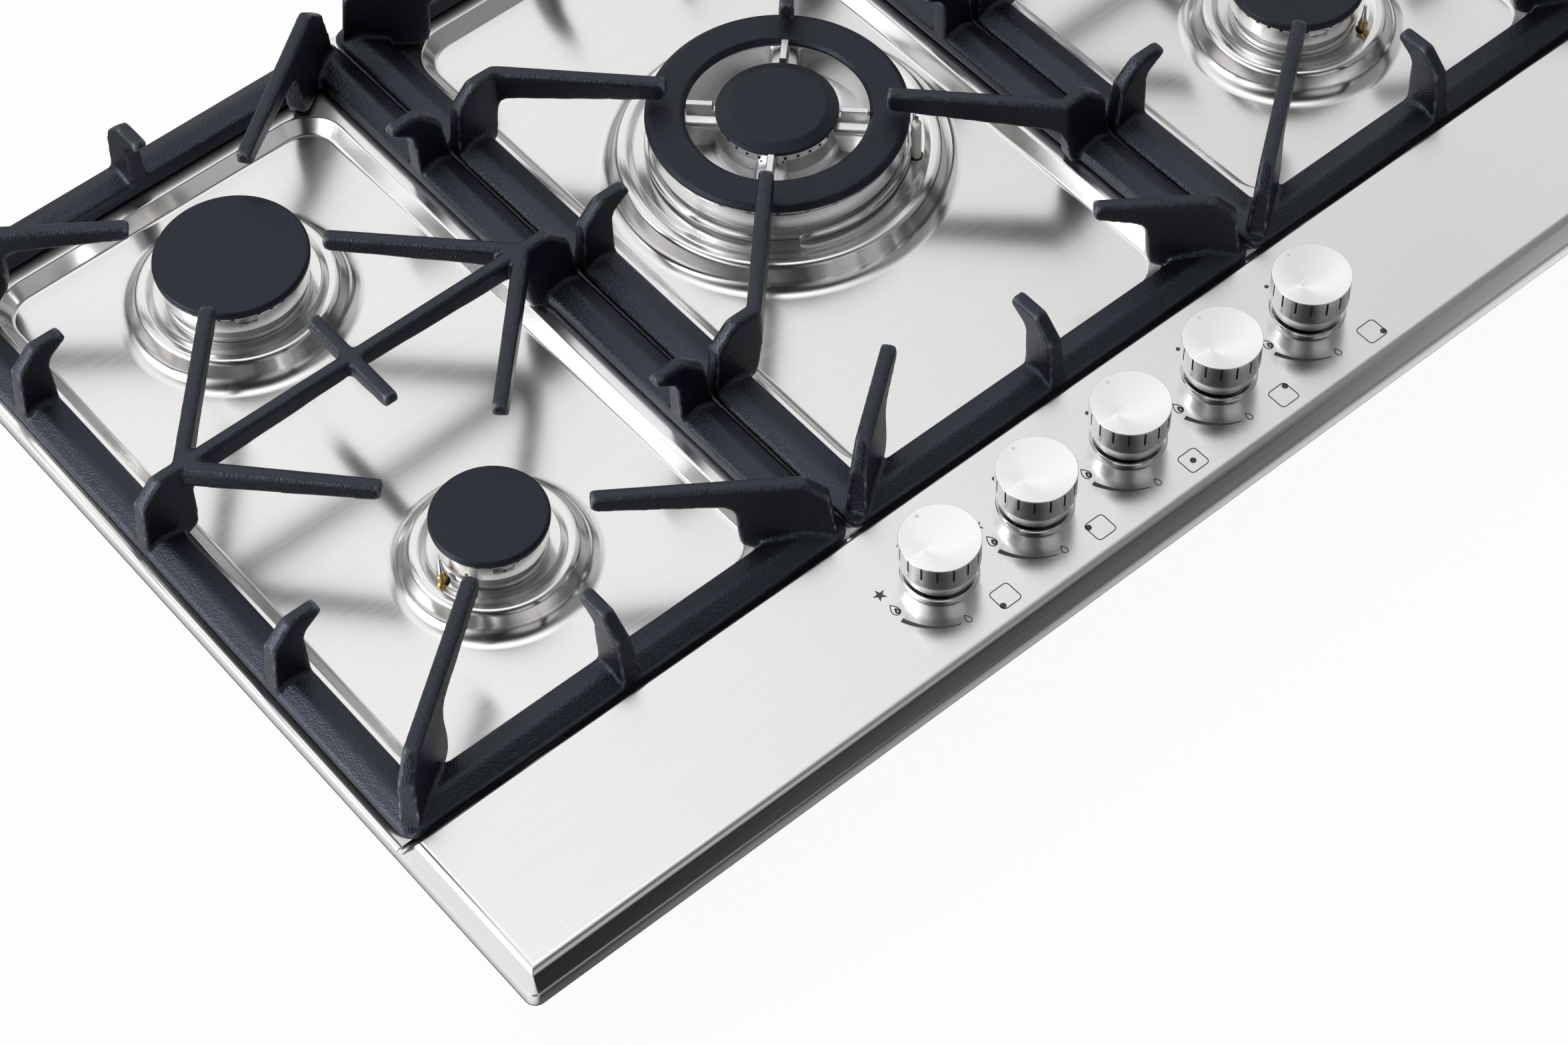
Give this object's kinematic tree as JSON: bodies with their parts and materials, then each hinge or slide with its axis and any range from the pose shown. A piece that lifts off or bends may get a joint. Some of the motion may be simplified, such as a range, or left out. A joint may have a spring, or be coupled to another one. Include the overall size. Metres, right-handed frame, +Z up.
{
  "type": "gas cooktop",
  "caption": "Built-in gas cooktop: brushed steel pan, cast pan supports, capped burners with a wok ring in the middle, and push-and-turn knobs along the front.",
  "frame": {"origin": "middle of the burner box's underside, on the plane of its bottom sheet", "axes": "+X to the right as the cook stands, +Y to the rear, +Z up"},
  "size_m": [0.776, 0.514, 0.105],
  "materials": {
    "brushed_steel": "fine straight grain, satin",
    "zinc_tray": "plain zinc coated sheet",
    "foam_seal": "soft matt foam strip",
    "enamelled_iron": "matt black enamel on cast iron",
    "black_enamel": "matt black enamel with fine grit",
    "cast_aluminium": "cast and machined",
    "turned_aluminium": "turned, satin, bright edge",
    "brass": "machined",
    "tube_alloy": "drawn tube",
    "white_ceramic": "glazed white",
    "dark_plastic": "moulded"
  },
  "bodies": {
    "hob": {"top_pan": "brushed_steel", "burner_box": "zinc_tray", "worktop_seal": "foam_seal", "gas_rail": "tube_alloy", "gas_inlet_elbow": "brass", "spark_unit": "dark_plastic", "tap_body_front_left": "brass", "gas_pipe_front_left": "tube_alloy", "burner_cup_front_left": "cast_aluminium", "igniter_front_left": "white_ceramic", "thermocouple_front_left": "brass", "tap_body_rear_left": "brass", "gas_pipe_rear_left": "tube_alloy", "burner_cup_rear_left": "cast_aluminium", "igniter_rear_left": "white_ceramic", "thermocouple_rear_left": "brass", "tap_body_wok": "brass", "gas_pipe_wok": "tube_alloy", "burner_cup_wok": "cast_aluminium", "igniter_wok": "white_ceramic", "thermocouple_wok": "brass", "tap_body_rear_right": "brass", "gas_pipe_rear_right": "tube_alloy", "burner_cup_rear_right": "cast_aluminium", "igniter_rear_right": "white_ceramic", "thermocouple_rear_right": "brass", "tap_body_front_right": "brass", "gas_pipe_front_right": "tube_alloy", "burner_cup_front_right": "cast_aluminium", "igniter_front_right": "white_ceramic", "thermocouple_front_right": "brass"},
    "valve_front_left": {"tap_plug_front_left": "brass"},
    "knob_front_left": {"knob_front_left": "turned_aluminium", "tap_spindle_front_left": "tube_alloy"},
    "valve_rear_left": {"tap_plug_rear_left": "brass"},
    "knob_rear_left": {"knob_rear_left": "turned_aluminium", "tap_spindle_rear_left": "tube_alloy"},
    "valve_wok": {"tap_plug_wok": "brass"},
    "knob_wok": {"knob_wok": "turned_aluminium", "tap_spindle_wok": "tube_alloy"},
    "valve_rear_right": {"tap_plug_rear_right": "brass"},
    "knob_rear_right": {"knob_rear_right": "turned_aluminium", "tap_spindle_rear_right": "tube_alloy"},
    "valve_front_right": {"tap_plug_front_right": "brass"},
    "knob_front_right": {"knob_front_right": "turned_aluminium", "tap_spindle_front_right": "tube_alloy"},
    "support_left": {"pan_support_left": "enamelled_iron"},
    "support_centre": {"pan_support_centre": "enamelled_iron"},
    "support_right": {"pan_support_right": "enamelled_iron"},
    "crown_front_left": {"flame_crown_front_left": "cast_aluminium"},
    "crown_rear_left": {"flame_crown_rear_left": "cast_aluminium"},
    "crown_wok": {"flame_crown_wok": "cast_aluminium"},
    "crown_rear_right": {"flame_crown_rear_right": "cast_aluminium"},
    "crown_front_right": {"flame_crown_front_right": "cast_aluminium"},
    "cap_front_left": {"burner_cap_front_left": "black_enamel"},
    "cap_rear_left": {"burner_cap_rear_left": "black_enamel"},
    "cap_rear_right": {"burner_cap_rear_right": "black_enamel"},
    "cap_front_right": {"burner_cap_front_right": "black_enamel"},
    "cap_wok_ring": {"burner_cap_wok_ring": "black_enamel"},
    "cap_wok_centre": {"burner_cap_wok_centre": "black_enamel"}
  },
  "joints": [
    {"name": "knob_front_left_turn", "type": "hinge", "parent": "hob", "child": "valve_front_left", "pos_m": [-0.1166, -0.2085, 0.052], "axis": [0, 0, 1], "range_deg": [0, 180]},
    {"name": "knob_front_left_push", "type": "slide", "parent": "valve_front_left", "child": "knob_front_left", "axis": [0, 0, -1], "range_m": [0, 0.003], "stiffness_N_per_m": 1200, "springref_m": -0.002},
    {"name": "knob_rear_left_turn", "type": "hinge", "parent": "hob", "child": "valve_rear_left", "pos_m": [-0.0583, -0.2085, 0.052], "axis": [0, 0, 1], "range_deg": [0, 180]},
    {"name": "knob_rear_left_push", "type": "slide", "parent": "valve_rear_left", "child": "knob_rear_left", "axis": [0, 0, -1], "range_m": [0, 0.003], "stiffness_N_per_m": 1200, "springref_m": -0.002},
    {"name": "knob_wok_turn", "type": "hinge", "parent": "hob", "child": "valve_wok", "pos_m": [0, -0.2085, 0.052], "axis": [0, 0, 1], "range_deg": [0, 180]},
    {"name": "knob_wok_push", "type": "slide", "parent": "valve_wok", "child": "knob_wok", "axis": [0, 0, -1], "range_m": [0, 0.003], "stiffness_N_per_m": 1200, "springref_m": -0.002},
    {"name": "knob_rear_right_turn", "type": "hinge", "parent": "hob", "child": "valve_rear_right", "pos_m": [0.0583, -0.2085, 0.052], "axis": [0, 0, 1], "range_deg": [0, 180]},
    {"name": "knob_rear_right_push", "type": "slide", "parent": "valve_rear_right", "child": "knob_rear_right", "axis": [0, 0, -1], "range_m": [0, 0.003], "stiffness_N_per_m": 1200, "springref_m": -0.002},
    {"name": "knob_front_right_turn", "type": "hinge", "parent": "hob", "child": "valve_front_right", "pos_m": [0.1166, -0.2085, 0.052], "axis": [0, 0, 1], "range_deg": [0, 180]},
    {"name": "knob_front_right_push", "type": "slide", "parent": "valve_front_right", "child": "knob_front_right", "axis": [0, 0, -1], "range_m": [0, 0.003], "stiffness_N_per_m": 1200, "springref_m": -0.002},
    {"name": "support_left_lift", "type": "slide", "parent": "hob", "child": "support_left", "axis": [0, 0, 1], "range_m": [0, 0.12]},
    {"name": "support_centre_lift", "type": "slide", "parent": "hob", "child": "support_centre", "axis": [0, 0, 1], "range_m": [0, 0.12]},
    {"name": "support_right_lift", "type": "slide", "parent": "hob", "child": "support_right", "axis": [0, 0, 1], "range_m": [0, 0.12]},
    {"name": "crown_front_left_lift", "type": "slide", "parent": "hob", "child": "crown_front_left", "axis": [0, 0, 1], "range_m": [0, 0.05]},
    {"name": "cap_front_left_lift", "type": "slide", "parent": "crown_front_left", "child": "cap_front_left", "axis": [0, 0, 1], "range_m": [0, 0.04]},
    {"name": "crown_rear_left_lift", "type": "slide", "parent": "hob", "child": "crown_rear_left", "axis": [0, 0, 1], "range_m": [0, 0.05]},
    {"name": "cap_rear_left_lift", "type": "slide", "parent": "crown_rear_left", "child": "cap_rear_left", "axis": [0, 0, 1], "range_m": [0, 0.04]},
    {"name": "crown_rear_right_lift", "type": "slide", "parent": "hob", "child": "crown_rear_right", "axis": [0, 0, 1], "range_m": [0, 0.05]},
    {"name": "cap_rear_right_lift", "type": "slide", "parent": "crown_rear_right", "child": "cap_rear_right", "axis": [0, 0, 1], "range_m": [0, 0.04]},
    {"name": "crown_front_right_lift", "type": "slide", "parent": "hob", "child": "crown_front_right", "axis": [0, 0, 1], "range_m": [0, 0.05]},
    {"name": "cap_front_right_lift", "type": "slide", "parent": "crown_front_right", "child": "cap_front_right", "axis": [0, 0, 1], "range_m": [0, 0.04]},
    {"name": "crown_wok_lift", "type": "slide", "parent": "hob", "child": "crown_wok", "axis": [0, 0, 1], "range_m": [0, 0.06]},
    {"name": "cap_wok_ring_lift", "type": "slide", "parent": "crown_wok", "child": "cap_wok_ring", "axis": [0, 0, 1], "range_m": [0, 0.03]},
    {"name": "cap_wok_centre_lift", "type": "slide", "parent": "crown_wok", "child": "cap_wok_centre", "axis": [0, 0, 1], "range_m": [0, 0.04]}
  ],
  "couplings": [
    {"joint": "crown_wok_lift", "follows": "support_centre_lift", "ratio": 0.5},
    {"joint": "cap_wok_ring_lift", "follows": "support_centre_lift", "ratio": 0.25}
  ]
}
